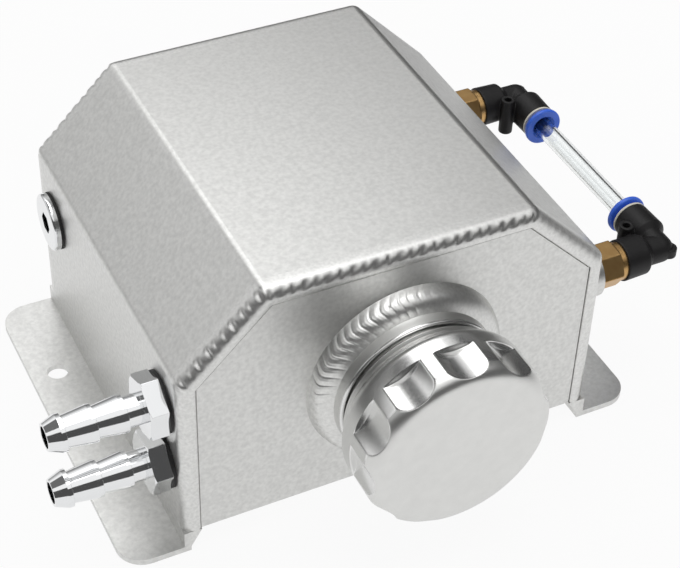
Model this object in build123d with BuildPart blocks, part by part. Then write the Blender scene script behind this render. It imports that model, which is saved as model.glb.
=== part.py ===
from build123d import *
import math
import os

# Coolant expansion tank, welded from sheet aluminium. Millimetres, +Z up.
# The origin is the centre of the four mounting holes, on the underside of the feet.
# The filler cap faces -Y, the hose tails face -X and the level gauge is on the +X side.

# Tank shell
body_width = 130.0
body_length = 115.0
body_height = 87.5
corner_size = 24.7
sheet = 2.0
bend_radius = 1.5
foot_bend_radius = 2.5
foot_reach = 17.5
foot_corner_radius = 8.0
hole_diameter = 6.5
hole_edge_margin = 8.3
hole_pitch_y = 48.2

# End plates, floor and the welds that join them
end_plate_thickness = 3.0
end_plate_setback = 0.6
corner_weld_width = 5.4
corner_weld_depth = 5.3
corner_weld_crown = 3.6
weld_tail_end = 1.5
floor_lift = 7.3
floor_thickness = 2.0
floor_weld_leg = 2.6

# Filler neck and its weld
neck_offset_x = 1.7
neck_rise = 0.6
neck_collar_radius = 24.4
neck_collar_reach = 10.1
neck_spigot_radius = 21.0
neck_spigot_length = 17.0
neck_bore_radius = 17.0
neck_edge_break = 0.8
neck_weld_spread = 5.3
neck_weld_height = 6.1
neck_weld_crown = 1.0

# Filler cap and its seal
cap_gap = 0.8
cap_radius = 27.8
cap_length = 23.6
cap_running_clearance = 0.08
cap_face_round = 4.4
cap_skirt_radius = 24.7
cap_skirt_length = 3.2
cap_flare_length = 3.4
cap_rear_chamfer = 1.4
scallop_count = 11
scallop_start = 88.0
scallop_radius = 13.6
scallop_depth = 2.0
scallop_length = 11.7
cap_seal_thickness = 2.4
cap_seal_margin = 0.6
cap_seal_chamfer = 0.6

# Threaded bosses in the left wall, with their washers
boss_radius = 6.9
boss_edge_gap = 0.3
boss_depth = 9.5
boss_thread_radius = 5.4
washer_radius = 8.9
washer_thickness = 1.0
barb_pair_rise = 1.4
barb_spacing = 21.4

# Hose tails
hex_flats = 16.4
hex_length = 5.2
hex_chamfer = 0.8
upper_hex_turn = 36.0
lower_hex_turn = 52.0
barb_neck_length = 4.6
ridge_count = 3
ridge_pitch = 8.5
ridge_land = 1.2
ridge_radius = 5.35
root_radius = 4.45
tip_length = 4.9
tip_radius = 3.9
barb_bore_radius = 3.1
shank_bore_radius = 3.6

# Plug at the rear of the left wall
plug_flange_radius = 8.9
plug_flange_thickness = 2.0
plug_flange_round = 0.8
plug_socket_flats = 6.0
plug_socket_depth = 5.0

# Level gauge: bosses and brass studs in the right wall
gauge_edge_gap = 1.4
gauge_rise = 1.25
gauge_boss_radius = 8.0
gauge_boss_reach = 6.0
gauge_boss_depth = 8.0
stud_thread_radius = 4.8
stud_thread_length = 9.0
stud_hex_flats = 12.0
stud_hex_length = 7.7
stud_hex_chamfer = 0.6
stud_collar_radius = 5.8
stud_collar_length = 2.0
stud_spigot_radius = 4.0
stud_spigot_length = 7.0
stud_bore_radius = 2.0
swivel_seal_inset = 2.6
swivel_seal_width = 1.6
swivel_seal_depth = 0.8

# Level gauge: elbows
elbow_core_radius = 4.3
elbow_shoulder = 1.8
stud_barrel_radius = 6.4
stud_barrel_length = 7.6
mouth_barrel_radius = 6.0
mouth_barrel_length = 9.0
barrel_taper = 0.25
elbow_corner_reach = 14.2
elbow_mouth_reach = 15.2
lug_radius = 2.4
lug_offset = 2.2
lug_height = 3.0
post_radius = 2.3
post_offset = 7.4
post_above = 6.0
post_below = 6.6
post_hole_radius = 1.1
web_height = 5.0

# Level gauge: push-in mouth of an elbow, measured from the elbow's corner
tube_radius = 3.0
tube_bore_radius = 2.0
tube_stop = 4.0
seal_seat = 6.0
tube_seal_section = 1.5
claw_thickness = 0.6
claw_slot_count = 8
claw_slot_width = 0.6
claw_slot_depth = 1.1
chamber_radius = 5.0
ring_flange_radius = 5.7
ring_flange_thickness = 0.7
ring_sleeve_length = 4.0
collar_travel = 1.0
collar_end_clearance = 0.2
collar_flange_radius = 6.3
collar_flange_thickness = 1.5
collar_flange_round = 0.5
collar_sleeve_length = 7.2
collar_wall = 1.2
collar_running_clearance = 0.08
collar_mouth_flare = 1.0

# Worked out from the sizes above
half_width = body_width / 2
half_length = body_length / 2
inner_half_width = half_width - sheet
wall_top = body_height - corner_size
half_top = half_width - corner_size
foot_edge = half_width + foot_reach
bend_slope = math.tan(math.radians(22.5))
bend_shift = sheet * bend_slope
plate_face = half_length - end_plate_setback
plate_back = plate_face - end_plate_thickness
weld_back = half_length - corner_weld_depth
floor_top = floor_lift + floor_thickness
neck_z = body_height / 2 + neck_rise
gauge_z = body_height / 2 + gauge_rise
gauge_y = weld_back - gauge_edge_gap - gauge_boss_radius
barb_y = weld_back - boss_edge_gap - boss_radius
barb_middle_z = (floor_top + wall_top) / 2 + barb_pair_rise
upper_barb_z = barb_middle_z + barb_spacing / 2
lower_barb_z = barb_middle_z - barb_spacing / 2
hole_x = foot_edge - hole_edge_margin

collar_front = plate_face + neck_collar_reach
spigot_front = collar_front + neck_spigot_length
cap_rear = collar_front + cap_gap
cap_front = cap_rear + cap_length
cap_bore_radius = neck_spigot_radius + cap_running_clearance
cap_bore_end = spigot_front + cap_seal_thickness
cap_flare_end = cap_rear + cap_skirt_length + cap_flare_length
scallop_reach = cap_radius - scallop_depth + scallop_radius

washer_face = half_width + washer_thickness
hex_face = washer_face + hex_length
boss_end = half_width - boss_depth

stud_seat = half_width + gauge_boss_reach
stud_hex_end = stud_seat + stud_hex_length
stud_collar_end = stud_hex_end + stud_collar_length
stud_spigot_end = stud_collar_end + stud_spigot_length
swivel_seal_start = stud_collar_end + swivel_seal_inset
swivel_groove_radius = stud_spigot_radius - swivel_seal_depth
stud_barrel_end = stud_collar_end + stud_barrel_length
corner_x = stud_collar_end + elbow_corner_reach
mouth_barrel_end = elbow_mouth_reach - mouth_barrel_length
tube_seal_radius = tube_radius + tube_seal_section
claw_seat = seal_seat + tube_seal_section
ring_front = elbow_mouth_reach + ring_flange_thickness
collar_flange_start = ring_front + collar_travel + collar_end_clearance
collar_bore_radius = tube_radius + collar_running_clearance
collar_sleeve_radius = collar_bore_radius + collar_wall
ring_bore_radius = collar_sleeve_radius + collar_running_clearance

os.makedirs("parts", exist_ok=True)


def save(piece, name):
    """Labels a finished piece and writes it."""
    piece.part.label = name
    export_step(piece.part, f"parts/{name}.step")


def end_outline(inset):
    """Corners of the tank's end above the floor, drawn in from the outside by a width."""
    side = half_width - inset
    bend = wall_top - inset * bend_slope
    shoulder = half_top - inset * bend_slope
    top = body_height - inset
    left = [(-side, floor_lift), (-side, bend), (-shoulder, top)]
    return left + [(shoulder, top), (side, bend), (side, floor_lift)]


def neck_plane():
    """Half section through the neck's axis: x runs out of the tank, y is the radius."""
    return Plane(origin=(neck_offset_x, 0, neck_z), x_dir=(0, -1, 0), z_dir=(-1, 0, 0))


def neck_axis():
    return Axis((neck_offset_x, 0, neck_z), (0, -1, 0))


def fitting_plane(side, y, z):
    """Half section of a wall fitting: x runs out of the wall, y is the radius."""
    return Plane(origin=(0, y, z), x_dir=(side, 0, 0), z_dir=(0, -side, 0))


def elbow_plane(side):
    """Half section of an elbow's mouth leg: x runs out of the mouth, y is the radius."""
    corner = (corner_x, side * gauge_y, gauge_z)
    return Plane(origin=corner, x_dir=(0, -side, 0), z_dir=(-side, 0, 0))


def mouth_plane(side, reach):
    """Section across an elbow's mouth leg, at a reach from the elbow's corner."""
    return Plane.XZ.offset(-side * (gauge_y - reach))


# Shell: one bent sheet on two feet. Above the floor its ends stop at the corner welds.
with BuildPart() as body_shell:
    with BuildSketch(Plane.XZ) as shell_section:
        with BuildLine():
            Polyline(
                (foot_edge, 0),
                (foot_edge, sheet),
                (half_width, sheet),
                (half_width, wall_top),
                (half_top, body_height),
                (-half_top, body_height),
                (-half_width, wall_top),
                (-half_width, sheet),
                (-foot_edge, sheet),
                (-foot_edge, 0),
                (-inner_half_width, 0),
                (-inner_half_width, wall_top - bend_shift),
                (-half_top + bend_shift, body_height - sheet),
                (half_top - bend_shift, body_height - sheet),
                (inner_half_width, wall_top - bend_shift),
                (inner_half_width, 0),
                close=True,
            )
        make_face()
        # Local Y of this sketch is the height, so its vertices are sorted by Y
        bends = shell_section.vertices().filter_by(lambda v: v.Y > sheet * 2)
        outer_bends = bends.filter_by(
            lambda v: min(abs(v.Y - wall_top), abs(v.Y - body_height)) < sheet * 0.1
        )
        inner_bends = bends.filter_by(lambda v: v not in outer_bends)
        low = shell_section.vertices().filter_by(lambda v: abs(v.X) < half_width + sheet)
        feet_outside = low.filter_by(lambda v: abs(v.Y - sheet) < sheet * 0.1)
        feet_inside = low.filter_by(lambda v: abs(v.Y) < sheet * 0.1)
        fillet(outer_bends, bend_radius + sheet)
        fillet(inner_bends, bend_radius)
        fillet(feet_outside, foot_bend_radius)
        fillet(feet_inside, foot_bend_radius + sheet)
    extrude(amount=half_length, both=True)
    foot_corners = body_shell.edges().filter_by(Axis.Z).filter_by(
        lambda e: abs(e.center().X) > foot_edge - sheet
    )
    fillet(foot_corners, foot_corner_radius)
    with BuildSketch(Plane.XY.offset(floor_lift)):
        with GridLocations(body_width, half_length + weld_back, 1, 2):
            Rectangle(2 * foot_edge, corner_weld_depth)
    extrude(amount=body_height, mode=Mode.SUBTRACT)
    with BuildSketch(Plane.XY):
        with GridLocations(2 * hole_x, hole_pitch_y, 2, 2):
            Circle(hole_diameter / 2)
    extrude(amount=sheet, mode=Mode.SUBTRACT)
    with BuildSketch(Plane.YZ.offset(-half_width)):
        with Locations((-barb_y, upper_barb_z), (-barb_y, lower_barb_z), (gauge_y, gauge_z)):
            Circle(boss_radius)
    extrude(amount=sheet, mode=Mode.SUBTRACT)
    with BuildSketch(Plane.YZ.offset(half_width)):
        with Locations((-gauge_y, gauge_z), (gauge_y, gauge_z)):
            Circle(gauge_boss_radius)
    extrude(amount=-sheet, mode=Mode.SUBTRACT)
save(body_shell, "body_shell")

# Floor: a flat sheet welded between the walls and the end plates, clear of the ground.
with BuildPart() as floor_plate:
    with BuildSketch(Plane.XY.offset(floor_lift)):
        Rectangle(2 * inner_half_width, 2 * weld_back)
        Rectangle(2 * (half_width - corner_weld_width), 2 * plate_back)
    extrude(amount=floor_thickness)
save(floor_plate, "floor_plate")

# Floor weld: a fillet along each wall, under the floor.
with BuildPart() as floor_weld:
    with BuildSketch(Plane.XZ.offset(-weld_back)):
        for side in (-1, 1):
            with BuildLine():
                root = (side * inner_half_width, floor_lift)
                toe = (side * (inner_half_width - floor_weld_leg), floor_lift)
                foot = (side * inner_half_width, floor_lift - floor_weld_leg)
                Polyline(toe, root, foot)
                RadiusArc(foot, toe, side * floor_weld_leg * 1.5)
            make_face()
    extrude(amount=2 * weld_back)
save(floor_weld, "floor_weld")

# End plates, each set into the rounded weld that runs round the tank's end. Below the plate
# the weld runs out down the inside of each wall.
for name, side in (("front", 1), ("rear", -1)):
    with BuildPart() as end_plate:
        with BuildSketch(Plane.XZ.offset(side * plate_face)):
            with BuildLine():
                Polyline(*end_outline(corner_weld_width), close=True)
            make_face()
            if name == "front":
                with Locations((neck_offset_x, neck_z)):
                    Circle(neck_collar_radius, mode=Mode.SUBTRACT)
        extrude(amount=-side * end_plate_thickness)
    save(end_plate, f"{name}_end_plate")

    with BuildPart() as corner_weld:
        with BuildSketch(Plane.XZ.offset(side * weld_back)) as weld_section:
            with BuildLine():
                Polyline(*end_outline(0), close=True)
            make_face()
            fillet(
                weld_section.vertices().filter_by(lambda v: v.Y > floor_top),
                bend_radius + sheet,
            )
            with BuildLine():
                Polyline(*end_outline(corner_weld_width), close=True)
            make_face(mode=Mode.SUBTRACT)
            for hand in (-1, 1):
                with BuildLine():
                    Polyline(
                        (hand * inner_half_width, weld_tail_end),
                        (hand * inner_half_width, floor_lift),
                        (hand * (half_width - corner_weld_width), floor_lift),
                        close=True,
                    )
                make_face()
        extrude(amount=side * corner_weld_depth)
        weld_end = corner_weld.faces().sort_by(Axis.Y)[0 if side > 0 else -1]
        outside_run = weld_end.edges().filter_by(
            lambda e: max(
                abs(e.center().X) - (half_width - sheet),
                e.center().Z - (body_height - sheet),
                abs(e.center().X) + e.center().Z - (half_width + wall_top - sheet * 2),
            ) > 0 and e.center().Z > floor_top
        )
        fillet(outside_run, corner_weld_crown)
    save(corner_weld, f"{name}_corner_weld")

# Filler neck: turned, set through the front plate, with a collar and a spigot for the cap.
with BuildPart() as filler_neck:
    with BuildSketch(neck_plane()):
        with BuildLine():
            Polyline(
                (plate_back, neck_bore_radius),
                (plate_back, neck_collar_radius),
                (collar_front - neck_edge_break, neck_collar_radius),
                (collar_front, neck_collar_radius - neck_edge_break),
                (collar_front, neck_spigot_radius),
                (spigot_front - neck_edge_break, neck_spigot_radius),
                (spigot_front, neck_spigot_radius - neck_edge_break),
                (spigot_front, neck_bore_radius),
                close=True,
            )
        make_face()
    revolve(axis=neck_axis())
save(filler_neck, "filler_neck")

# Neck weld: a wide fillet from the plate's face up the neck's collar.
with BuildPart() as neck_weld:
    with BuildSketch(neck_plane()):
        with BuildLine():
            plate_toe = (plate_face, neck_collar_radius + neck_weld_spread)
            neck_toe = (plate_face + neck_weld_height, neck_collar_radius)
            crown = (
                plate_face + neck_weld_height / 2 + neck_weld_crown,
                neck_collar_radius + neck_weld_spread / 2 + neck_weld_crown,
            )
            Polyline(neck_toe, (plate_face, neck_collar_radius), plate_toe)
            ThreePointArc(plate_toe, crown, neck_toe)
        make_face()
    revolve(axis=neck_axis())
save(neck_weld, "neck_weld")

# Filler cap: a turned cup with finger scallops milled in from its face.
with BuildPart() as filler_cap:
    with BuildSketch(neck_plane()) as cap_section:
        with BuildLine():
            Polyline(
                (cap_bore_end, 0),
                (cap_bore_end, cap_bore_radius),
                (cap_rear, cap_bore_radius),
                (cap_rear, cap_skirt_radius - cap_rear_chamfer),
                (cap_rear + cap_rear_chamfer, cap_skirt_radius),
                (cap_rear + cap_skirt_length, cap_skirt_radius),
                (cap_flare_end, cap_radius),
                (cap_front, cap_radius),
                (cap_front, 0),
                close=True,
            )
        make_face()
        # Local Y of this sketch is the radius and local X runs out of the tank
        rim_corner = cap_section.vertices().group_by(Axis.Y)[-1].sort_by(Axis.X)[-1]
        fillet(rim_corner, cap_face_round)
    revolve(axis=neck_axis())
    with BuildSketch(Plane.XZ.offset(cap_front)):
        with Locations((neck_offset_x, neck_z)):
            with PolarLocations(scallop_reach, scallop_count, scallop_start):
                Circle(scallop_radius)
    extrude(amount=-scallop_length, mode=Mode.SUBTRACT)
save(filler_cap, "filler_cap")

# Cap seal: a rubber ring squeezed between the spigot's end and the inside of the cap.
with BuildPart() as cap_o_ring:
    with BuildSketch(neck_plane()) as seal_section:
        with Locations((spigot_front, (neck_bore_radius + neck_spigot_radius) / 2)):
            Rectangle(
                cap_seal_thickness,
                neck_spigot_radius - neck_bore_radius - 2 * cap_seal_margin,
                align=(Align.MIN, Align.CENTER),
            )
        chamfer(seal_section.vertices(), cap_seal_chamfer)
    revolve(axis=neck_axis())
save(cap_o_ring, "cap_o_ring")

# Left wall: three welded bosses, each with a sealing washer.
left_fittings = (
    ("upper_barb", -barb_y, upper_barb_z),
    ("lower_barb", -barb_y, lower_barb_z),
    ("port", gauge_y, gauge_z),
)
for name, y, z in left_fittings:
    with BuildPart() as boss:
        with BuildSketch(Plane.YZ.offset(-half_width)):
            with Locations((y, z)):
                Circle(boss_radius)
                Circle(boss_thread_radius, mode=Mode.SUBTRACT)
        extrude(amount=boss_depth)
    save(boss, f"{name}_bung")

    with BuildPart() as washer:
        with BuildSketch(Plane.YZ.offset(-washer_face)):
            with Locations((y, z)):
                Circle(washer_radius)
                Circle(boss_thread_radius, mode=Mode.SUBTRACT)
        extrude(amount=washer_thickness)
    save(washer, f"{name}_washer")

# Hose tails: a hexagon, a threaded shank and a row of ridges that grip the hose.
# They are drilled from both ends, wider through the shank.
barb_outline = [
    (washer_face, barb_bore_radius),
    (washer_face, shank_bore_radius),
    (boss_end, shank_bore_radius),
    (boss_end, boss_thread_radius),
    (washer_face, boss_thread_radius),
    (washer_face, root_radius),
]
ridge_start = hex_face + barb_neck_length
barb_outline.append((ridge_start, root_radius))
for ridge in range(ridge_count):
    crest = ridge_start + ridge * ridge_pitch
    barb_outline += [(crest, ridge_radius), (crest + ridge_land, ridge_radius)]
    if ridge < ridge_count - 1:
        barb_outline.append((crest + ridge_pitch, root_radius))
barb_tip = ridge_start + (ridge_count - 1) * ridge_pitch + tip_length
barb_outline += [(barb_tip, tip_radius), (barb_tip, barb_bore_radius)]
hex_corner_radius = hex_flats / math.sqrt(3)

for name, z, turn in (
    ("upper", upper_barb_z, upper_hex_turn),
    ("lower", lower_barb_z, lower_hex_turn),
):
    with BuildPart() as hose_barb:
        with BuildSketch(Plane.YZ.offset(-washer_face)):
            with Locations((-barb_y, z)):
                RegularPolygon(hex_flats / 2, 6, major_radius=False, rotation=turn)
        extrude(amount=-hex_length)
        with BuildSketch(fitting_plane(-1, -barb_y, z)):
            with BuildLine():
                Polyline(
                    (washer_face, 0),
                    (washer_face, hex_corner_radius),
                    (hex_face - hex_chamfer / 2, hex_corner_radius),
                    (hex_face, hex_corner_radius - hex_chamfer),
                    (hex_face, 0),
                    close=True,
                )
            make_face()
        revolve(axis=Axis((0, -barb_y, z), (-1, 0, 0)), mode=Mode.INTERSECT)
        with BuildSketch(fitting_plane(-1, -barb_y, z)):
            with BuildLine():
                Polyline(*barb_outline, close=True)
            make_face()
        revolve(axis=Axis((0, -barb_y, z), (-1, 0, 0)))
        with BuildSketch(Plane.YZ.offset(-washer_face)):
            with Locations((-barb_y, z)):
                Circle(barb_bore_radius)
        extrude(amount=-hex_length, mode=Mode.SUBTRACT)
    save(hose_barb, f"{name}_hose_barb")

# Port plug: a flanged screw plug with a hexagon socket.
with BuildPart() as port_plug:
    with BuildSketch(Plane.YZ.offset(-washer_face)):
        with Locations((gauge_y, gauge_z)):
            Circle(plug_flange_radius)
    extrude(amount=-plug_flange_thickness)
    rim = port_plug.faces().sort_by(Axis.X)[0].edges()
    fillet(rim, plug_flange_round)
    with BuildSketch(Plane.YZ.offset(-washer_face)):
        with Locations((gauge_y, gauge_z)):
            Circle(boss_thread_radius)
    extrude(amount=washer_face - boss_end)
    with BuildSketch(Plane.YZ.offset(-washer_face - plug_flange_thickness)):
        with Locations((gauge_y, gauge_z)):
            RegularPolygon(plug_socket_flats / 2, 6, major_radius=False)
    extrude(amount=plug_socket_depth, mode=Mode.SUBTRACT)
save(port_plug, "port_plug")

# Sight tube: a straight length of clear tube between the two elbows.
with BuildPart() as sight_tube:
    with BuildSketch(mouth_plane(1, tube_stop)):
        with Locations((corner_x, gauge_z)):
            Circle(tube_radius)
            Circle(tube_bore_radius, mode=Mode.SUBTRACT)
    extrude(amount=2 * (gauge_y - tube_stop))
save(sight_tube, "sight_tube")

# Right wall: the same fitting at each end of the gauge, its mouth facing the other.
for name, side in (("rear", 1), ("front", -1)):
    stud_y = side * gauge_y
    stud_axis = Axis((0, stud_y, gauge_z), (1, 0, 0))

    with BuildPart() as gauge_bung:
        with BuildSketch(Plane.YZ.offset(stud_seat)):
            with Locations((stud_y, gauge_z)):
                Circle(gauge_boss_radius)
                Circle(stud_thread_radius, mode=Mode.SUBTRACT)
        extrude(amount=-(gauge_boss_reach + gauge_boss_depth))
    save(gauge_bung, f"{name}_gauge_bung")

    # Brass stud: threaded shank, hexagon, collar and a grooved spigot for the elbow
    with BuildPart() as gauge_stud:
        with BuildSketch(Plane.YZ.offset(stud_seat)):
            with Locations((stud_y, gauge_z)):
                RegularPolygon(stud_hex_flats / 2, 6, major_radius=False)
        extrude(amount=stud_hex_length)
        with BuildSketch(fitting_plane(1, stud_y, gauge_z)):
            with BuildLine():
                corner_radius = stud_hex_flats / math.sqrt(3)
                Polyline(
                    (stud_seat, 0),
                    (stud_seat, corner_radius),
                    (stud_hex_end - stud_hex_chamfer / 2, corner_radius),
                    (stud_hex_end, corner_radius - stud_hex_chamfer),
                    (stud_hex_end, 0),
                    close=True,
                )
            make_face()
        revolve(axis=stud_axis, mode=Mode.INTERSECT)
        with BuildSketch(fitting_plane(1, stud_y, gauge_z)):
            with BuildLine():
                Polyline(
                    (stud_seat - stud_thread_length, stud_bore_radius),
                    (stud_seat - stud_thread_length, stud_thread_radius),
                    (stud_seat, stud_thread_radius),
                    (stud_hex_end, stud_thread_radius),
                    (stud_hex_end, stud_collar_radius),
                    (stud_collar_end, stud_collar_radius),
                    (stud_collar_end, stud_spigot_radius),
                    (swivel_seal_start, stud_spigot_radius),
                    (swivel_seal_start, swivel_groove_radius),
                    (swivel_seal_start + swivel_seal_width, swivel_groove_radius),
                    (swivel_seal_start + swivel_seal_width, stud_spigot_radius),
                    (stud_spigot_end, stud_spigot_radius),
                    (stud_spigot_end, stud_bore_radius),
                    close=True,
                )
            make_face()
        revolve(axis=stud_axis)
        with BuildSketch(Plane.YZ.offset(stud_seat)):
            with Locations((stud_y, gauge_z)):
                Circle(stud_bore_radius)
        extrude(amount=stud_hex_length, mode=Mode.SUBTRACT)
    save(gauge_stud, f"{name}_gauge_stud")

    with BuildPart() as swivel_seal:
        with BuildSketch(Plane.YZ.offset(swivel_seal_start)):
            with Locations((stud_y, gauge_z)):
                Circle(stud_spigot_radius)
                Circle(swivel_groove_radius, mode=Mode.SUBTRACT)
        extrude(amount=swivel_seal_width)
    save(swivel_seal, f"{name}_swivel_seal")

    # Elbow: a slender bent pipe with a thicker barrel round each end, a lug on the heel
    # and a drilled post in the inner corner
    with BuildPart() as elbow_body:
        with BuildSketch(Plane.YZ.offset(stud_collar_end)):
            with Locations((stud_y, gauge_z)):
                Circle(elbow_core_radius)
        extrude(amount=elbow_corner_reach)
        with BuildSketch(fitting_plane(1, stud_y, gauge_z)):
            with BuildLine():
                Polyline(
                    (stud_collar_end, 0),
                    (stud_collar_end, stud_barrel_radius),
                    (stud_barrel_end, stud_barrel_radius - barrel_taper),
                    (stud_barrel_end + elbow_shoulder, elbow_core_radius),
                    (stud_barrel_end + elbow_shoulder, 0),
                    close=True,
                )
            make_face()
        revolve(axis=stud_axis)
        with BuildSketch(mouth_plane(side, 0)):
            with Locations((corner_x, gauge_z)):
                Circle(elbow_core_radius)
        extrude(amount=side * elbow_mouth_reach)
        with BuildSketch(elbow_plane(side)):
            with BuildLine():
                Polyline(
                    (elbow_mouth_reach, 0),
                    (elbow_mouth_reach, mouth_barrel_radius - barrel_taper),
                    (mouth_barrel_end, mouth_barrel_radius),
                    (mouth_barrel_end - elbow_shoulder, elbow_core_radius),
                    (mouth_barrel_end - elbow_shoulder, 0),
                    close=True,
                )
            make_face()
        revolve(axis=Axis((corner_x, stud_y, gauge_z), (0, -side, 0)))
        with Locations((corner_x, stud_y, gauge_z)):
            Sphere(elbow_core_radius)
        with BuildSketch(Plane.XY.offset(gauge_z - lug_height / 2)):
            with Locations((corner_x + lug_offset, stud_y + side * lug_offset)):
                Circle(lug_radius)
        extrude(amount=lug_height)
        with BuildSketch(Plane.XY.offset(gauge_z - web_height / 2)):
            with Locations((corner_x - post_offset / 2, stud_y - side * post_offset / 2)):
                Rectangle(post_offset, post_offset)
        extrude(amount=web_height)
        with BuildSketch(Plane.XY.offset(gauge_z - post_below)):
            with Locations((corner_x - post_offset, stud_y - side * post_offset)):
                Circle(post_radius)
        extrude(amount=post_below + post_above)
        with BuildSketch(Plane.XY.offset(gauge_z - post_below)):
            with Locations((corner_x - post_offset, stud_y - side * post_offset)):
                Circle(post_hole_radius)
        extrude(amount=post_below + post_above, mode=Mode.SUBTRACT)
        with BuildSketch(Plane.YZ.offset(stud_collar_end)):
            with Locations((stud_y, gauge_z)):
                Circle(stud_spigot_radius)
        extrude(amount=stud_spigot_length, mode=Mode.SUBTRACT)
        with BuildSketch(Plane.YZ.offset(stud_spigot_end)):
            with Locations((stud_y, gauge_z)):
                Circle(stud_bore_radius)
        extrude(amount=corner_x - stud_spigot_end, mode=Mode.SUBTRACT)
        mouth_steps = (
            (0, tube_stop, tube_bore_radius),
            (tube_stop, seal_seat, tube_radius),
            (seal_seat, claw_seat, tube_seal_radius),
            (claw_seat, elbow_mouth_reach, chamber_radius),
        )
        for start, end, radius in mouth_steps:
            with BuildSketch(mouth_plane(side, start)):
                with Locations((corner_x, gauge_z)):
                    Circle(radius)
            extrude(amount=side * (end - start), mode=Mode.SUBTRACT)
    save(elbow_body, f"{name}_elbow_body")

    with BuildPart() as tube_seal:
        with BuildSketch(mouth_plane(side, seal_seat)):
            with Locations((corner_x, gauge_z)):
                Circle(tube_seal_radius)
                Circle(tube_radius, mode=Mode.SUBTRACT)
        extrude(amount=side * tube_seal_section)
    save(tube_seal, f"{name}_tube_seal")

    # Grip claw: a steel washer whose inner edge is slotted into teeth
    with BuildPart() as grip_claw:
        with BuildSketch(mouth_plane(side, claw_seat)):
            with Locations((corner_x, gauge_z)):
                Circle(chamber_radius)
                Circle(tube_radius, mode=Mode.SUBTRACT)
                with PolarLocations(tube_radius, claw_slot_count):
                    Rectangle(2 * claw_slot_depth, claw_slot_width, mode=Mode.SUBTRACT)
        extrude(amount=side * claw_thickness)
    save(grip_claw, f"{name}_grip_claw")

    with BuildPart() as retaining_ring:
        with BuildSketch(mouth_plane(side, elbow_mouth_reach)):
            with Locations((corner_x, gauge_z)):
                Circle(ring_flange_radius)
                Circle(ring_bore_radius, mode=Mode.SUBTRACT)
        extrude(amount=side * ring_flange_thickness)
        with BuildSketch(mouth_plane(side, elbow_mouth_reach - ring_sleeve_length)):
            with Locations((corner_x, gauge_z)):
                Circle(chamber_radius)
                Circle(ring_bore_radius, mode=Mode.SUBTRACT)
        extrude(amount=side * ring_sleeve_length)
    save(retaining_ring, f"{name}_retaining_ring")

    # Release collar: a sleeve that slides along the tube, with a flange to press
    with BuildPart() as release_collar:
        with BuildSketch(mouth_plane(side, collar_flange_start)):
            with Locations((corner_x, gauge_z)):
                Circle(collar_flange_radius)
        extrude(amount=side * collar_flange_thickness)
        fillet(release_collar.edges().filter_by(GeomType.CIRCLE), collar_flange_round)
        with BuildSketch(mouth_plane(side, collar_flange_start - collar_sleeve_length)):
            with Locations((corner_x, gauge_z)):
                Circle(collar_sleeve_radius)
        extrude(amount=side * collar_sleeve_length)
        with BuildSketch(mouth_plane(side, collar_flange_start - collar_sleeve_length)):
            with Locations((corner_x, gauge_z)):
                Circle(collar_bore_radius)
        extrude(
            amount=side * (collar_sleeve_length + collar_flange_thickness),
            mode=Mode.SUBTRACT,
        )
        outer_end = release_collar.faces().filter_by(Axis.Y).sort_by(Axis.Y)
        mouth_edge = outer_end[0 if side > 0 else -1].edges().sort_by(SortBy.RADIUS)[0]
        chamfer(mouth_edge, collar_mouth_flare)
    save(release_collar, f"{name}_release_collar")
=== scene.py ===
import math

import bpy
from mathutils import Matrix, Vector


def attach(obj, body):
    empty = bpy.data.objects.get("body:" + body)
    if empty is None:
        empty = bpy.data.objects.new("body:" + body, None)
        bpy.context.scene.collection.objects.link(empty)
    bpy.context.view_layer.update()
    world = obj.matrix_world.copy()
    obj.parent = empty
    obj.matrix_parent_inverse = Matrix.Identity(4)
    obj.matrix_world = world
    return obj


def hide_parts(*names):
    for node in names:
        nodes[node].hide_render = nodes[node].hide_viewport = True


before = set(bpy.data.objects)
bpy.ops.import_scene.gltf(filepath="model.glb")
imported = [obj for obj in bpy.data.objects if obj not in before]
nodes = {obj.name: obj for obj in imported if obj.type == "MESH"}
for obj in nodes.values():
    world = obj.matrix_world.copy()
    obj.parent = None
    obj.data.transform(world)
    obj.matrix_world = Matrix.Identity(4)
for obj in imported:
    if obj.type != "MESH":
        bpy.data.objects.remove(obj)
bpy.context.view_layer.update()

# Camera: the photograph's view, worked out from the corners of the tank's body.
# It stands half a metre off, at the front left, looking down on the top and the filler cap.
view_azimuth = math.radians(-27.09)
view_elevation = math.radians(41.08)
view_roll = math.radians(1.97)
camera_data = bpy.data.cameras.new("camera")
camera_data.sensor_fit = "HORIZONTAL"
camera_data.sensor_width = 36.0
camera_data.lens = 93.155
camera_data.clip_start = 0.01
camera = bpy.data.objects.new("camera", camera_data)
bpy.context.scene.collection.objects.link(camera)
camera.matrix_world = (
    Matrix.Translation((-0.17483, -0.36159, 0.38094))
    @ Matrix.Rotation(view_azimuth, 4, "Z")
    @ Matrix.Rotation(math.pi / 2 - view_elevation, 4, "X")
    @ Matrix.Rotation(view_roll, 4, "Z")
)
bpy.context.scene.camera = camera


# Tank shell, floor and end plates: 2 and 3 mm aluminium sheet, cut and bent, then blasted with
# glass beads after welding. That leaves an even satin grey that is faintly mottled.
def linear(colour):
    """An sRGB hex colour as the linear red, green, blue and alpha that a socket takes."""
    steps = [int(colour[i : i + 2], 16) / 255 for i in (1, 3, 5)]
    return [s / 12.92 if s <= 0.04045 else ((s + 0.055) / 1.055) ** 2.4 for s in steps] + [1.0]


def add(material, kind, sockets, **settings):
    """Adds a node to a material, sets its settings, and fills or links its sockets."""
    node = material.node_tree.nodes.new(kind)
    for name, value in settings.items():
        setattr(node, name, value)
    for socket, value in sockets.items():
        if isinstance(value, bpy.types.NodeSocket):
            material.node_tree.links.new(value, node.inputs[socket])
        else:
            node.inputs[socket].default_value = value
    return node


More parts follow.
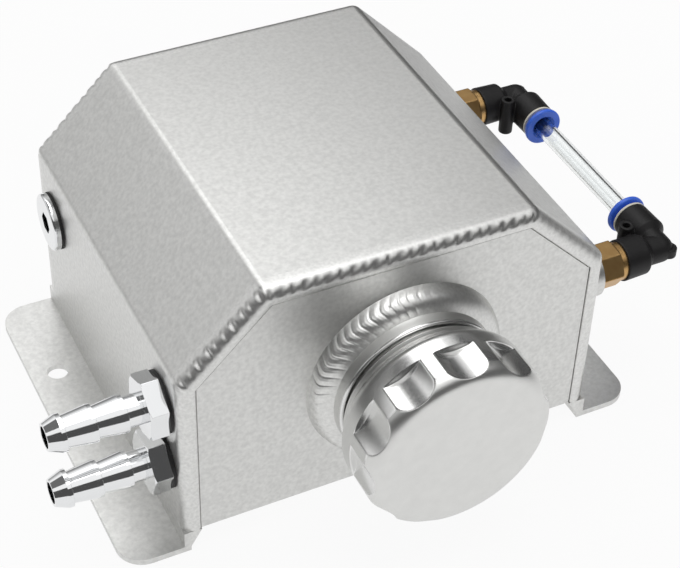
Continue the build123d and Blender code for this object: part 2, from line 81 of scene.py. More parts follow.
def new_material(name):
    """An empty material and its Object coordinates."""
    material = bpy.data.materials.new(name)
    material.use_nodes = True
    material.node_tree.nodes.clear()
    return material, add(material, "ShaderNodeTexCoord", {}).outputs["Object"]


def dress(node, material):
    """Gives a CAD node its material."""
    nodes[node].data.materials.clear()
    nodes[node].data.materials.append(material)


# Bead-blasted aluminium: blotches 1.3 mm across, and a grain drawn 0.5 mm across, which is
# coarser than the real 0.1 mm dimples so that it shows. It scatters light into an even satin.
blasted, place = new_material("bead_blasted_aluminium")
blotch = add(blasted, "ShaderNodeTexNoise", {"Vector": place, "Scale": 1 / 0.0013, "Detail": 3.0})
grain = add(blasted, "ShaderNodeTexNoise", {"Vector": place, "Scale": 1 / 0.0005, "Detail": 2.0})
tone = add(
    blasted, "ShaderNodeMapRange", {"Value": blotch.outputs["Fac"], "From Min": 0.3, "From Max": 0.7}
)
colour = add(
    blasted,
    "ShaderNodeMix",
    {"Factor": tone.outputs["Result"], 6: linear("#D7D7D5"), 7: linear("#E6E6E4")},
    data_type="RGBA",
)
gloss = add(
    blasted,
    "ShaderNodeMapRange",
    {"Value": blotch.outputs["Fac"], "From Min": 0.3, "From Max": 0.7, "To Min": 0.43, "To Max": 0.38},
)
relief = add(
    blasted, "ShaderNodeBump", {"Height": grain.outputs["Fac"], "Strength": 0.12, "Distance": 0.0001}
)
skin = add(
    blasted,
    "ShaderNodeBsdfPrincipled",
    {
        "Base Color": colour.outputs[2],
        "Metallic": 1.0,
        "Roughness": gloss.outputs["Result"],
        "Normal": relief.outputs["Normal"],
    },
)
add(blasted, "ShaderNodeOutputMaterial", {"Surface": skin.outputs["BSDF"]})
for name in ("body_shell", "floor_plate", "front_end_plate", "rear_end_plate"):
    dress(name, blasted)


# Corner welds: a rounded bead laid by hand round each end plate. On the top and the two slopes
# it keeps the weld's scales, one every 3.4 mm. Down the walls it is ground smooth, and a thin
# dark line is left where it meets the plate.
def open_for_edit(piece):
    """Puts a new piece in the scene and opens it in edit mode, alone and all selected."""
    bpy.context.scene.collection.objects.link(piece)
    bpy.ops.object.select_all(action="DESELECT")
    piece.select_set(True)
    bpy.context.view_layer.objects.active = piece
    bpy.ops.object.mode_set(mode="EDIT")
    bpy.ops.mesh.select_all(action="SELECT")


def object_from(name, points, faces, material, body):
    """A finished piece from its points and faces, with faces outwards, on its body."""
    mesh = bpy.data.meshes.new(name)
    mesh.from_pydata(points, [], faces)
    piece = bpy.data.objects.new(name, mesh)
    open_for_edit(piece)
    bpy.ops.mesh.remove_doubles(threshold=1e-7)
    bpy.ops.mesh.normals_make_consistent(inside=False)
    bpy.ops.object.mode_set(mode="OBJECT")
    bpy.ops.object.shade_smooth_by_angle(angle=math.radians(40))
    mesh.materials.append(material)
    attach(piece, body)
    return piece


# Weld metal, blasted with the tank: a little whiter than the sheet, with finer blotches 0.9 mm
# across.
weld_metal, place = new_material("blasted_weld_bead")
blotch = add(weld_metal, "ShaderNodeTexNoise", {"Vector": place, "Scale": 1 / 0.0009, "Detail": 3.0})
tone = add(
    weld_metal, "ShaderNodeMapRange", {"Value": blotch.outputs["Fac"], "From Min": 0.3, "From Max": 0.7}
)
colour = add(
    weld_metal,
    "ShaderNodeMix",
    {"Factor": tone.outputs["Result"], 6: linear("#DADAD8"), 7: linear("#ECECEA")},
    data_type="RGBA",
)
relief = add(
    weld_metal, "ShaderNodeBump", {"Height": blotch.outputs["Fac"], "Strength": 0.1, "Distance": 0.0001}
)
skin = add(
    weld_metal,
    "ShaderNodeBsdfPrincipled",
    {
        "Base Color": colour.outputs[2],
        "Metallic": 1.0,
        "Roughness": 0.38,
        "Normal": relief.outputs["Normal"],
    },
)
add(weld_metal, "ShaderNodeOutputMaterial", {"Surface": skin.outputs["BSDF"]})

bead_width = 0.0054
bead_depth = 0.0053
bead_crown = 0.0036
crown_steps = 16
bend_radius = 0.0035
bend_angle = math.radians(45)
scale_pitch = 0.00342
scale_depth = 0.00034
station_step = 0.00034
end_face = 0.0575
plate_foot = 0.0073
bead_foot = 0.0596

# Lengths along the bead at which the scales start, the bead turns on to the top, and they end.
scales_start = 0.0525
top_start = 0.0888
scales_end = 0.1735

outer = [(-0.065, plate_foot), (-0.065, 0.0628), (-0.0403, 0.0875)]
outer += [(-x, z) for x, z in reversed(outer)]
inner = [(-bead_foot, plate_foot), (-bead_foot, 0.060563), (-0.038063, 0.0821)]
inner += [(-x, z) for x, z in reversed(inner)]
outer = [Vector(p) for p in outer]
inner = [Vector(p) for p in inner]

# Stations along the bead: a point on its outer line, the point facing it on its inner line,
# and the length run so far.
stations = []
run = 0.0
bend_cut = bend_radius * math.tan(bend_angle / 2)
for k in range(5):
    ahead = (outer[k + 1] - outer[k]).normalized()
    inwards = Vector((ahead.y, -ahead.x))
    start = bend_cut if k > 0 else 0.0
    stop = (outer[k + 1] - outer[k]).length - (bend_cut if k < 4 else 0.0)
    steps = round((stop - start) / station_step)
    inner_length = (inner[k + 1] - inner[k]).length
    for i in range(steps + 1):
        t = start + (stop - start) * i / steps
        point = outer[k] + ahead * t
        facing = (point + inwards * bead_width - inner[k]).dot(ahead)
        facing = inner[k] + ahead * min(max(facing, 0.0), inner_length)
        stations.append((point, facing, run + t - start))
    run += stop - start
    if k < 4:
        centre = outer[k] + ahead * stop + inwards * bend_radius
        for i in range(1, 8):
            turn = bend_angle * i / 8
            spoke = Vector((
                -inwards.x * math.cos(turn) - inwards.y * math.sin(turn),
                -inwards.y * math.cos(turn) + inwards.x * math.sin(turn),
            ))
            stations.append((centre + spoke * bend_radius, inner[k + 1], run + bend_radius * turn))
        run += bend_radius * bend_angle

# The bead's section: distance in from the outer line, and height over the end face. A round
# crown, a flat, and the thin step down to the plate.
section = [(0.0, -bead_depth), (0.0, -bead_depth + 0.0009)]
for i in range(crown_steps + 1):
    turn = math.pi / 2 * i / crown_steps
    section.append((bead_crown * (1 - math.cos(turn)), bead_crown * (math.sin(turn) - 1)))
section += [
    (0.0040, 0.0), (0.0044, -0.00003), (0.0048, -0.0001), (0.00508, -0.00035),
    (0.00514, -0.0007), (0.00514, -0.0011), (bead_width, -0.0012), (bead_width, -bead_depth),
]

for end, side in (("front", -1), ("rear", 1)):
    points = []
    for outside, facing, length in stations:
        across = facing - outside
        stretch = across.length / bead_width
        across.normalize()
        # The scales stop just below the left bend, and the right slope is almost smooth.
        scaled = min(max((length - scales_start) / 0.003, 0.03), 1.0)
        scaled *= min(max((scales_end - length) / 0.006, 0.12), 1.0)
        # On the top they lie nearer the plate, and are narrower and shallower.
        on_top = min(max((length - top_start) / 0.0028, 0.0), 1.0)
        middle = 0.34 + 0.28 * on_top
        reach = 0.36 - 0.08 * on_top
        for k, (inward, above) in enumerate(section):
            round_by = (k - 2) / crown_steps
            fade = max(1 - ((round_by - middle) / reach) ** 2, 0.0) * (1 - 0.25 * on_top)
            # Each scale bows and leans, and was laid by hand, so that pitch and depth wander.
            phase = length / scale_pitch + 0.55 * (round_by - middle) ** 2 + 0.45 * round_by
            phase += 0.08 * math.sin(length * 900) + 0.05 * math.sin(length * 2300)
            hollow = (0.5 + 0.5 * math.cos(2 * math.pi * phase)) ** 1.6
            sink = scale_depth * hollow * fade * scaled * (1 + 0.3 * math.sin(length * 1310))
            to_core = Vector((bead_crown - inward, -bead_crown - above))
            if to_core.length > 1e-6:
                to_core.normalize()
            inward += to_core.x * sink
            above += to_core.y * sink
            spot = outside + across * inward * stretch
            points.append((spot.x, side * (end_face + above), spot.y))
    ring = len(section)
    faces = []
    for i in range(len(stations) - 1):
        for k in range(ring):
            m = (k + 1) % ring
            faces.append((i * ring + k, i * ring + m, (i + 1) * ring + m, (i + 1) * ring + k))
    faces.append(tuple(range(ring)))
    faces.append(tuple(range((len(stations) - 1) * ring, len(stations) * ring)))
    # Below the plate the weld tapers out on the inside of each wall.
    for hand in (-1, 1):
        first = len(points)
        for depth in (0.0, bead_depth):
            for x, z in ((0.063, 0.0015), (0.063, plate_foot), (bead_foot, plate_foot)):
                points.append((hand * x, side * (end_face - depth), z))
        faces += [(first, first + 1, first + 2), (first + 3, first + 5, first + 4)]
        for k in range(3):
            m = (k + 1) % 3
            faces.append((first + k, first + m, first + 3 + m, first + 3 + k))
    bead = object_from(f"{end}_corner_bead", points, faces, weld_metal, "tank")
    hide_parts(f"{end}_corner_weld")
# The floor's weld, under the tank, is of the same metal.
dress("floor_weld", weld_metal)


# Neck weld: a wide fillet of weld round the filler neck, laid by hand in many short steps. Each
# step left an arrow-shaped scale. They are sharp from the top round the left to the bottom, and
# ground almost flat at the right.
neck_x = 0.0017
neck_z = 0.04435


def turned(name, profile, steps, shape, material, body):
    """A piece spun about the filler's axis from points of (distance out, radius), then reshaped."""
    mesh = bpy.data.meshes.new(name)
    loop = [(neck_x + radius, -out, neck_z) for out, radius in profile]
    last = len(loop) - 1
    edges = [(k, k + 1) for k in range(last)]
    if profile[0][1] > 0:
        edges.append((last, 0))
    mesh.from_pydata(loop, edges, [])
    piece = bpy.data.objects.new(name, mesh)
    open_for_edit(piece)
    bpy.ops.mesh.spin(steps=steps, angle=2 * math.pi, center=(neck_x, 0, neck_z), axis=(0, -1, 0))
    bpy.ops.mesh.select_all(action="SELECT")
    bpy.ops.mesh.remove_doubles(threshold=1e-6)
    bpy.ops.mesh.normals_make_consistent(inside=False)
    bpy.ops.object.mode_set(mode="OBJECT")
    for vertex in mesh.vertices:
        x, z = vertex.co.x - neck_x, vertex.co.z - neck_z
        radius = math.hypot(x, z)
        if radius > 1e-6:
            out, wanted = shape(-vertex.co.y, radius, math.atan2(z, x))
            vertex.co = (neck_x + x * wanted / radius, -out, neck_z + z * wanted / radius)
    bpy.ops.object.shade_smooth_by_angle(angle=math.radians(40))
    mesh.materials.append(material)
    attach(piece, body)
    return piece


# The fillet runs from its toe on the plate to its top on the neck, and swells square to that
# line: 0.656 out and 0.755 away from the axis for each part of swell.
weld_toe = (0.0569, 0.0297)
weld_top = (0.0630, 0.0244)
weld_swell = 0.00141
swell_out = 0.656
swell_away = 0.755
weld_scales = 58
weld_profile = []
for i in range(25):
    t = i / 24
    swell = weld_swell * math.sin(math.pi * t)
    weld_profile.append((
        weld_toe[0] + (weld_top[0] - weld_toe[0]) * t + swell * swell_out,
        weld_toe[1] + (weld_top[1] - weld_toe[1]) * t + swell * swell_away,
    ))
weld_profile.append((weld_toe[0], weld_top[1]))


def arrow_scales(out, radius, angle):
    """Sinks the fillet's face between the scales, which bow to a point at its middle."""
    t = (out - weld_toe[0]) / (weld_top[0] - weld_toe[0])
    if t <= 0.001 or radius < weld_top[1] + 0.00002:
        return out, radius
    turn = math.degrees(angle) % 360
    strength = min(max((turn - 76) / 24, 0.04), 1.0) * min(max((300 - turn) / 40, 0.1), 1.0)
    bow = math.sqrt(0.02 + (t - 0.5) ** 2)
    phase = (
        weld_scales * angle / (2 * math.pi) + 1.7 * bow
        + 0.25 * math.sin(3 * angle) + 0.1 * math.sin(11 * angle)
    )
    edge = (1 - abs(math.sin(math.pi * phase))) ** 1.4
    fine = 0.5 + 0.5 * math.cos(6 * math.pi * phase)
    fade = math.sin(math.pi * min(max(t, 0.0), 1.0)) ** 0.6
    sink = (0.00024 * edge + 0.00007 * fine) * fade * strength
    return out - sink * swell_out, radius - sink * swell_away


neck_bead = turned(
    "neck_bead", weld_profile, weld_scales * 12, arrow_scales, weld_metal, "tank"
)
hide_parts("neck_weld")


# Filler neck: turned from aluminium bar, with a collar that the weld holds and a spigot with a
# right-hand thread of 3 mm pitch for the cap. The cutting tool leaves fine rings.
def softened(corners):
    """A profile with rounded corners, from (distance out, radius, rounding) for each."""
    soft = []
    for k, (out, radius, rounding) in enumerate(corners):
        here = Vector((out, radius))
        if rounding == 0:
            soft.append(tuple(here))
            continue
        before = Vector(corners[k - 1][:2]) - here
        after = Vector(corners[(k + 1) % len(corners)][:2]) - here
        reach = min(rounding, before.length / 2, after.length / 2)
        first = here + before.normalized() * reach
        last = here + after.normalized() * reach
        for i in range(5):
            t = i / 4
            soft.append(tuple(first * (1 - t) ** 2 + here * 2 * t * (1 - t) + last * t ** 2))
    return soft


def divided(profile, low, high, step):
    """The same profile with more points where it runs between two distances out."""
    fine = []
    for k, point in enumerate(profile):
        fine.append(point)
        after = profile[(k + 1) % len(profile)]
        if k + 1 < len(profile) and low <= min(point[0], after[0]) and max(point[0], after[0]) <= high:
            count = int(math.dist(point, after) / step)
            fine += [
                tuple(Vector(point).lerp(Vector(after), i / (count + 1))) for i in range(1, count + 1)
            ]
    return fine


# Turned aluminium: rings 0.4 mm apart round the neck's axis, drawn coarser than a real feed of
# 0.1 mm so that they show.
turned_aluminium, place = new_material("turned_aluminium")
centred = add(
    turned_aluminium, "ShaderNodeVectorMath", {0: place, 1: (neck_x, 0.0, neck_z)}, operation="SUBTRACT"
)
rings = add(
    turned_aluminium,
    "ShaderNodeTexWave",
    {
        "Vector": centred.outputs["Vector"],
        "Scale": 2 * math.pi / (20 * 0.0004),
        "Distortion": 0.3,
        "Detail": 1.0,
    },
    wave_type="RINGS",
    rings_direction="Y",
)
blotch = add(turned_aluminium, "ShaderNodeTexNoise", {"Vector": place, "Scale": 1 / 0.003, "Detail": 3.0})
colour = add(
    turned_aluminium,
    "ShaderNodeMix",
    {"Factor": blotch.outputs["Fac"], 6: linear("#DEDEDC"), 7: linear("#E8E8E6")},
    data_type="RGBA",
)
relief = add(
    turned_aluminium,
    "ShaderNodeBump",
    {"Height": rings.outputs["Fac"], "Strength": 0.08, "Distance": 0.00003},
)
skin = add(
    turned_aluminium,
    "ShaderNodeBsdfPrincipled",
    {
        "Base Color": colour.outputs[2],
        "Metallic": 1.0,
        "Roughness": 0.36,
        "Normal": relief.outputs["Normal"],
    },
)
add(turned_aluminium, "ShaderNodeOutputMaterial", {"Surface": skin.outputs["BSDF"]})

# Polished aluminium, for the collar's rim and the cap's skirt and scallops: bright, with faint
# scratches drawn 0.6 mm across, coarser than the real ones so that they show.
polished, place = new_material("polished_aluminium")
scratch = add(polished, "ShaderNodeTexNoise", {"Vector": place, "Scale": 1 / 0.0006, "Detail": 4.0})
gloss = add(
    polished,
    "ShaderNodeMapRange",
    {"Value": scratch.outputs["Fac"], "From Min": 0.3, "From Max": 0.7, "To Min": 0.18, "To Max": 0.26},
)
skin = add(
    polished,
    "ShaderNodeBsdfPrincipled",
    {"Base Color": linear("#E6E6E5"), "Metallic": 1.0, "Roughness": gloss.outputs["Result"]},
)
add(polished, "ShaderNodeOutputMaterial", {"Surface": skin.outputs["BSDF"]})

neck_rear = 0.0539
neck_bore = 0.0170
collar_face = 0.0670
collar_radius = 0.0244
spigot_end = 0.0840
spigot_radius = 0.0210
thread_pitch = 0.003
thread_depth = 0.0009
thread_start = 0.0685
thread_end = 0.0838
neck_profile = divided(
    softened([
        (neck_rear, neck_bore, 0),
        (neck_rear, collar_radius, 0),
        (collar_face, collar_radius, 0.0009),
        (collar_face, spigot_radius, 0.0003),
        (spigot_end, spigot_radius, 0.0008),
        (spigot_end, neck_bore, 0.0005),
    ]),
    collar_face,
    spigot_end,
    0.00022,
)


def thread(out, radius, angle):
    """Cuts the thread into the spigot, fading in at its end and out at the collar."""
    if abs(radius - spigot_radius) > 0.0005:
        return out, radius
    phase = out / thread_pitch - angle / (2 * math.pi)
    groove = min((0.5 - 0.5 * math.cos(2 * math.pi * phase)) * 1.5, 1.0)
    fade = min(max((out - thread_start) / 0.001, 0.0), 1.0)
    fade *= min(max((thread_end - out) / 0.0008, 0.0), 1.0)
    return out, radius - thread_depth * groove * fade


neck = turned("threaded_neck", neck_profile, 180, thread, turned_aluminium, "tank")
# The collar's rounded rim and its face are polished.
neck.data.materials.append(polished)
for face in neck.data.polygons:
    rim = math.hypot(face.center.x - neck_x, face.center.z - neck_z)
    if face.center.y < -0.0635 and rim > 0.0212:
        face.material_index = 1
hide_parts("filler_neck")


# Filler cap: turned from aluminium bar, its rim flared and rounded, with eleven finger scallops
# milled in from the face. The face is satin, and the scallops and the skirt are polished.
cap_bore = 0.02108
cap_ceiling = 0.0864
cap_radius = 0.0278
cap_rounding = 0.0044
cap_face = 0.0914
scallop_count = 11
scallop_first = math.radians(88)
scallop_centre = 0.0394
scallop_radius = 0.0136
scallop_rear = 0.0797
scallop_softness = 0.00009

# The bore from its ceiling down, then the skirt's lip and flare.
cap_profile = [(cap_ceiling, 0.0), (cap_ceiling, 0.0160), (cap_ceiling, cap_bore), (0.0720, cap_bore)]
cap_profile += softened([
    (0.0678, cap_bore, 0.0002),
    (0.0678, 0.0233, 0.0004),
    (0.0692, 0.0247, 0.0008),
    (0.0710, 0.0247, 0.0012),
    (0.0744, cap_radius, 0.0016),
    (0.0850, cap_radius, 0),
])[:-1]
# Rings along the rim, closest where the scallops begin, then its rounding and the face.
cap_profile += [(0.0766 + 0.0004 * i, cap_radius) for i in range(6)]
cap_profile += [(scallop_rear + 0.00005 * i, cap_radius) for i in range(-5, 9)]
cap_profile += [(0.0804 + 0.0004 * i, cap_radius) for i in range(17)]
for i in range(33):
    turn = math.pi / 2 * i / 32
    cap_profile.append((
        cap_face - cap_rounding + cap_rounding * math.sin(turn),
        cap_radius - cap_rounding + cap_rounding * math.cos(turn),
    ))
cap_profile += [(cap_face, radius) for radius in (0.0228, 0.0200, 0.0120, 0.0040, 0.0)]


def scallops(out, radius, angle):
    """Draws the rim in to the cutter's path, with a slightly softened edge."""
    if out < scallop_rear - 0.0006 or out > cap_face - 0.00001 or radius < 0.0236:
        return out, radius
    pitch = 2 * math.pi / scallop_count
    away = (angle - scallop_first + pitch / 2) % pitch - pitch / 2
    across = scallop_centre * math.sin(away)
    if abs(across) >= scallop_radius:
        return out, radius
    floor = scallop_centre * math.cos(away) - math.sqrt(scallop_radius ** 2 - across ** 2)
    soft = scallop_softness
    cut = min(radius, floor) - soft * math.log1p(math.exp(-abs(radius - floor) / soft))
    entry = min(max((out - scallop_rear + 0.0001) / 0.00025, 0.0), 1.0)
    return out, radius + (cut - radius) * entry * entry * (3 - 2 * entry)


cap = turned(
    "scalloped_cap", cap_profile, scallop_count * 52, scallops, polished, "cap"
)
# The face and the front of its rounding keep the cutting tool's rings.
cap.data.materials.append(turned_aluminium)
for face in cap.data.polygons:
    if face.center.y < -0.0872 and face.normal.y < -0.2:
        face.material_index = 1
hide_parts("filler_cap")


# Cap seal, washers and the rings inside the elbows: black nitrile rubber, moulded, with a dull
# skin and a faint bloom.
rubber, place = new_material("nitrile_rubber")
bloom = add(rubber, "ShaderNodeTexNoise", {"Vector": place, "Scale": 1 / 0.002, "Detail": 4.0})
colour = add(
    rubber,
    "ShaderNodeMix",
    {"Factor": bloom.outputs["Fac"], 6: linear("#121212"), 7: linear("#232323")},
    data_type="RGBA",
)
relief = add(
    rubber, "ShaderNodeBump", {"Height": bloom.outputs["Fac"], "Strength": 0.1, "Distance": 0.0001}
)
skin = add(
    rubber,
    "ShaderNodeBsdfPrincipled",
    {"Base Color": colour.outputs[2], "Roughness": 0.55, "Normal": relief.outputs["Normal"]},
)
add(rubber, "ShaderNodeOutputMaterial", {"Surface": skin.outputs["BSDF"]})
for name in (
    "upper_barb_washer", "lower_barb_washer", "port_washer", "cap_o_ring",
    "front_swivel_seal", "rear_swivel_seal", "front_tube_seal", "rear_tube_seal",
):
    dress(name, rubber)


# Hose tails and port plug: turned from steel bar and chromium plated, so they mirror the bright
# room above and the dark band round its walls. The plating is smooth, with a trace of waviness.
chrome, place = new_material("chromium_plate")
wave = add(chrome, "ShaderNodeTexNoise", {"Vector": place, "Scale": 1 / 0.004, "Detail": 1.0})
soft_edge = add(chrome, "ShaderNodeBevel", {"Radius": 0.00015}, samples=4)
relief = add(
    chrome,
    "ShaderNodeBump",
    {
        "Height": wave.outputs["Fac"],
        "Strength": 0.04,
        "Distance": 0.0001,
        "Normal": soft_edge.outputs["Normal"],
    },
)
gloss = add(
    chrome,
    "ShaderNodeMapRange",
    {"Value": wave.outputs["Fac"], "From Min": 0.3, "From Max": 0.7, "To Min": 0.06, "To Max": 0.1},
)
skin = add(
    chrome,
    "ShaderNodeBsdfPrincipled",
    {
        "Base Color": linear("#EDEEEF"),
        "Metallic": 1.0,
        "Roughness": gloss.outputs["Result"],
        "Normal": relief.outputs["Normal"],
    },
)
add(chrome, "ShaderNodeOutputMaterial", {"Surface": skin.outputs["BSDF"]})
for name in ("upper_hose_barb", "lower_hose_barb", "port_plug"):
    dress(name, chrome)


# Welded bosses: short turned rings of aluminium behind the fittings, blasted with the tank.
for name in ("upper_barb_bung", "lower_barb_bung", "port_bung", "front_gauge_bung", "rear_gauge_bung"):
    dress(name, blasted)


# Brass studs: turned from hexagon bar, with the dull tan of bare brass. The tool's rings are
# drawn 0.35 mm apart, coarser than a real feed of 0.1 mm so that they show.
brass, place = new_material("turned_brass")
tarnish = add(brass, "ShaderNodeTexNoise", {"Vector": place, "Scale": 1 / 0.003, "Detail": 4.0})
rings = add(
    brass,
    "ShaderNodeTexWave",
    {"Vector": place, "Scale": 2 * math.pi / (20 * 0.00035), "Distortion": 0.2},
    bands_direction="X",
)
colour = add(
    brass,
    "ShaderNodeMix",
    {"Factor": tarnish.outputs["Fac"], 6: linear("#BE935C"), 7: linear("#D8B47C")},
    data_type="RGBA",
)
soft_edge = add(brass, "ShaderNodeBevel", {"Radius": 0.0006}, samples=6)
relief = add(
    brass,
    "ShaderNodeBump",
    {
        "Height": rings.outputs["Fac"],
        "Strength": 0.06,
        "Distance": 0.00003,
        "Normal": soft_edge.outputs["Normal"],
    },
)
skin = add(
    brass,
    "ShaderNodeBsdfPrincipled",
    {
        "Base Color": colour.outputs[2],
        "Metallic": 1.0,
        "Roughness": 0.36,
        "Normal": relief.outputs["Normal"],
    },
)
add(brass, "ShaderNodeOutputMaterial", {"Surface": skin.outputs["BSDF"]})
for end in ("front", "rear"):
    dress(f"{end}_gauge_stud", brass)


# Elbows: moulded in black glass-filled nylon. Every corner is soft, and the skin is a fine matt
# grain, drawn 0.35 mm across so that it shows.
nylon, place = new_material("black_glass_filled_nylon")
grain = add(nylon, "ShaderNodeTexNoise", {"Vector": place, "Scale": 1 / 0.00035, "Detail": 2.0})
flow = add(nylon, "ShaderNodeTexNoise", {"Vector": place, "Scale": 1 / 0.004, "Detail": 2.0})
colour = add(
    nylon,
    "ShaderNodeMix",
    {"Factor": flow.outputs["Fac"], 6: linear("#151415"), 7: linear("#201F20")},
    data_type="RGBA",
)
relief = add(
    nylon, "ShaderNodeBump", {"Height": grain.outputs["Fac"], "Strength": 0.12, "Distance": 0.0001}
)
skin = add(
    nylon,
    "ShaderNodeBsdfPrincipled",
    {
        "Base Color": colour.outputs[2],
        "Roughness": 0.5,
        "Specular IOR Level": 0.35,
        "Normal": relief.outputs["Normal"],
    },
)
add(nylon, "ShaderNodeOutputMaterial", {"Surface": skin.outputs["BSDF"]})
for end in ("front", "rear"):
    elbow = bpy.data.objects.new(f"{end}_moulded_elbow", nodes[f"{end}_elbow_body"].data.copy())
    open_for_edit(elbow)
    bpy.ops.mesh.remove_doubles(threshold=1e-6)
    bpy.ops.object.mode_set(mode="OBJECT")
    rebuild = elbow.modifiers.new("rebuild", "REMESH")
    rebuild.mode = "VOXEL"
    rebuild.voxel_size = 0.00022
    soften = elbow.modifiers.new("soften", "SMOOTH")
    soften.factor = 0.5
    soften.iterations = 7
    bpy.ops.object.modifier_apply(modifier="rebuild")
    bpy.ops.object.modifier_apply(modifier="soften")
    bpy.ops.object.shade_smooth()
    elbow.data.materials.clear()
    elbow.data.materials.append(nylon)
    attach(elbow, "tank")
    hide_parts(f"{end}_elbow_body")


# Release collars, retaining rings and grip claws: the collars and the rings are moulded in
# acetal, blue and cream, and pushed into the elbows. The claws are stamped from spring steel.

# Blue acetal, moulded: one deep blue with faint flow marks 3 mm across, and a waxy gloss.
blue, place = new_material("blue_acetal")
flow = add(blue, "ShaderNodeTexNoise", {"Vector": place, "Scale": 1 / 0.003, "Detail": 2.0})
colour = add(
    blue,
    "ShaderNodeMix",
    {"Factor": flow.outputs["Fac"], 6: linear("#3768E2"), 7: linear("#4678F0")},
    data_type="RGBA",
)
skin = add(blue, "ShaderNodeBsdfPrincipled", {"Base Color": colour.outputs[2], "Roughness": 0.3})
add(blue, "ShaderNodeOutputMaterial", {"Surface": skin.outputs["BSDF"]})

# Cream acetal, moulded: the same, but paler and a little duller.
cream, place = new_material("cream_acetal")
flow = add(cream, "ShaderNodeTexNoise", {"Vector": place, "Scale": 1 / 0.003, "Detail": 2.0})
colour = add(
    cream,
    "ShaderNodeMix",
    {"Factor": flow.outputs["Fac"], 6: linear("#DAD5C4"), 7: linear("#E6E2D4")},
    data_type="RGBA",
)
skin = add(cream, "ShaderNodeBsdfPrincipled", {"Base Color": colour.outputs[2], "Roughness": 0.4})
add(cream, "ShaderNodeOutputMaterial", {"Surface": skin.outputs["BSDF"]})

# Spring steel, rolled and stamped: bright grey, with roll marks 1 mm across in its gloss.
steel, place = new_material("stamped_spring_steel")
roll = add(steel, "ShaderNodeTexNoise", {"Vector": place, "Scale": 1 / 0.001, "Detail": 2.0})
gloss = add(
    steel,
    "ShaderNodeMapRange",
    {"Value": roll.outputs["Fac"], "From Min": 0.3, "From Max": 0.7, "To Min": 0.22, "To Max": 0.34},
)
skin = add(
    steel,
    "ShaderNodeBsdfPrincipled",
    {"Base Color": linear("#B4B4B2"), "Metallic": 1.0, "Roughness": gloss.outputs["Result"]},
)
add(steel, "ShaderNodeOutputMaterial", {"Surface": skin.outputs["BSDF"]})
for end in ("front", "rear"):
    dress(f"{end}_release_collar", blue)
    dress(f"{end}_retaining_ring", cream)
    dress(f"{end}_grip_claw", steel)


# Sight tube: extruded clear polyurethane, 6 mm across with a 4 mm bore. Its skin is slightly
# wavy along its length.
clear, place = new_material("clear_polyurethane")
wave = add(clear, "ShaderNodeTexNoise", {"Vector": place, "Scale": 1 / 0.004, "Detail": 1.0})
relief = add(
    clear, "ShaderNodeBump", {"Height": wave.outputs["Fac"], "Strength": 0.02, "Distance": 0.0001}
)
skin = add(
    clear,
    "ShaderNodeBsdfPrincipled",
    {
        "Base Color": linear("#F6F8F8"),
        "Roughness": 0.0,
        "Transmission Weight": 1.0,
        "IOR": 1.5,
        "Normal": relief.outputs["Normal"],
    },
)
add(clear, "ShaderNodeOutputMaterial", {"Surface": skin.outputs["BSDF"]})
dress("sight_tube", clear)


# Studio: a white table and a white surround, which the camera, the metals and the clear tube see
# as plain white. The table keeps a faint shadow of the tank.
bpy.ops.object.select_all(action="DESELECT")
bpy.ops.mesh.primitive_plane_add(size=6.0, location=(0, 0, -0.0003))
table = bpy.context.object
table.name = "studio_table"
table_paint = new_material("white_table")[0]
path = add(table_paint, "ShaderNodeLightPath", {})
seen = add(
    table_paint,
    "ShaderNodeMath",
    {0: path.outputs["Is Camera Ray"], 1: path.outputs["Is Transmission Ray"]},
    operation="MAXIMUM",
)
seen = add(table_paint, "ShaderNodeMath", {0: seen.outputs["Value"], 1: 0.92}, operation="MULTIPLY")
mirrored = add(
    table_paint, "ShaderNodeMath", {0: path.outputs["Is Glossy Ray"], 1: 0.7}, operation="MULTIPLY"
)
share = add(
    table_paint,
    "ShaderNodeMath",
    {0: seen.outputs["Value"], 1: mirrored.outputs["Value"]},
    operation="MAXIMUM",
)
lit = add(table_paint, "ShaderNodeBsdfDiffuse", {"Color": linear("#F4F4F4")})
white = add(table_paint, "ShaderNodeEmission", {"Color": linear("#FFFFFF"), "Strength": 1.0})
mixed = add(
    table_paint,
    "ShaderNodeMixShader",
    {0: share.outputs["Value"], 1: lit.outputs["BSDF"], 2: white.outputs["Emission"]},
)
add(table_paint, "ShaderNodeOutputMaterial", {"Surface": mixed.outputs["Shader"]})
table.data.materials.append(table_paint)

world = bpy.data.worlds.new("white_surround")
bpy.context.scene.world = world
world.use_nodes = True
world.node_tree.nodes.clear()
path = add(world, "ShaderNodeLightPath", {})
camera_or_glossy = add(
    world,
    "ShaderNodeMath",
    {0: path.outputs["Is Camera Ray"], 1: path.outputs["Is Glossy Ray"]},
    operation="MAXIMUM",
)
seen = add(
    world,
    "ShaderNodeMath",
    {0: camera_or_glossy.outputs["Value"], 1: path.outputs["Is Transmission Ray"]},
    operation="MAXIMUM",
)
level = add(
    world, "ShaderNodeMapRange", {"Value": seen.outputs["Value"], "To Min": 0.55, "To Max": 1.0}
)
glow = add(
    world, "ShaderNodeBackground", {"Color": linear("#FFFFFF"), "Strength": level.outputs["Result"]}
)
add(world, "ShaderNodeOutputWorld", {"Surface": glow.outputs["Background"]})


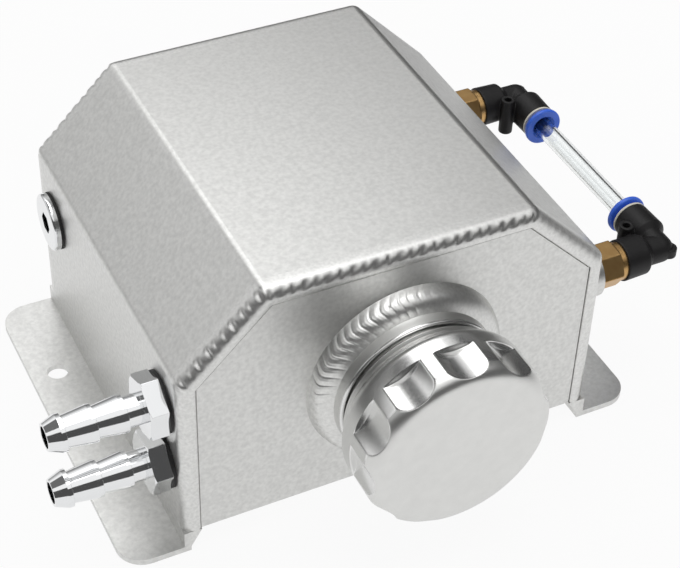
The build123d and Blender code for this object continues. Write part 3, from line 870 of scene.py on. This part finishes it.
# Dark room: beyond the table's edge the metals mirror its walls, which are light only at the left
# rear, and two grey flags at the sides. Only reflections and the clear tube see them.
bpy.ops.object.select_all(action="DESELECT")
bpy.ops.mesh.primitive_cone_add(
    vertices=64, radius1=0.45, radius2=1.3, depth=1.04, end_fill_type="NOTHING", location=(0, 0, 0.522)
)
wall = bpy.context.object
wall.name = "room_wall"
wall_paint, place = new_material("grey_wall")
light_side = (-0.72, 0.69, 0.0)
towards = add(wall_paint, "ShaderNodeVectorMath", {0: place, 1: light_side}, operation="DOT_PRODUCT")
shade = add(
    wall_paint,
    "ShaderNodeMapRange",
    {"Value": towards.outputs["Value"], "From Min": 0.3, "From Max": 0.8, "To Min": 0.08, "To Max": 1.0},
)
dim = add(
    wall_paint, "ShaderNodeEmission", {"Color": linear("#FFFFFF"), "Strength": shade.outputs["Result"]}
)
add(wall_paint, "ShaderNodeOutputMaterial", {"Surface": dim.outputs["Emission"]})
wall.data.materials.append(wall_paint)
flag_cloth = new_material("grey_felt")[0]
dim = add(flag_cloth, "ShaderNodeEmission", {"Color": linear("#707070"), "Strength": 1.0})
add(flag_cloth, "ShaderNodeOutputMaterial", {"Surface": dim.outputs["Emission"]})
tank_middle = Vector((0, 0, 0.05))
cards = [wall]
for name, spot, size in (
    ("right_flag", (0.83, 0.146, 0.757), 1.1),
    ("left_flag", (-0.69, 0.345, 1.035), 1.25),
):
    bpy.ops.object.select_all(action="DESELECT")
    bpy.ops.mesh.primitive_plane_add(size=size, location=spot)
    flag = bpy.context.object
    flag.name = name
    flag.rotation_euler = (Vector(spot) - tank_middle).to_track_quat("Z", "Y").to_euler()
    flag.data.materials.append(flag_cloth)
    cards.append(flag)
for card in cards:
    card.visible_camera = False
    card.visible_diffuse = False
    card.visible_shadow = False


# Lamps: a wide soft box overhead and a narrower one high behind the tank.
for name, spot, size, power in (
    ("overhead_box", (0.1, -0.1, 1.3), 0.8, 3.0),
    ("rear_box", (0.06, 0.622, 1.13), 0.7, 1.85),
):
    lamp_data = bpy.data.lights.new(name, "AREA")
    lamp_data.size = size
    lamp_data.energy = power
    lamp = bpy.data.objects.new(name, lamp_data)
    bpy.context.scene.collection.objects.link(lamp)
    aim = Vector(spot) - tank_middle
    lamp.matrix_world = Matrix.Translation(spot) @ aim.to_track_quat("Z", "Y").to_matrix().to_4x4()

bpy.context.scene.view_settings.view_transform = "Standard"
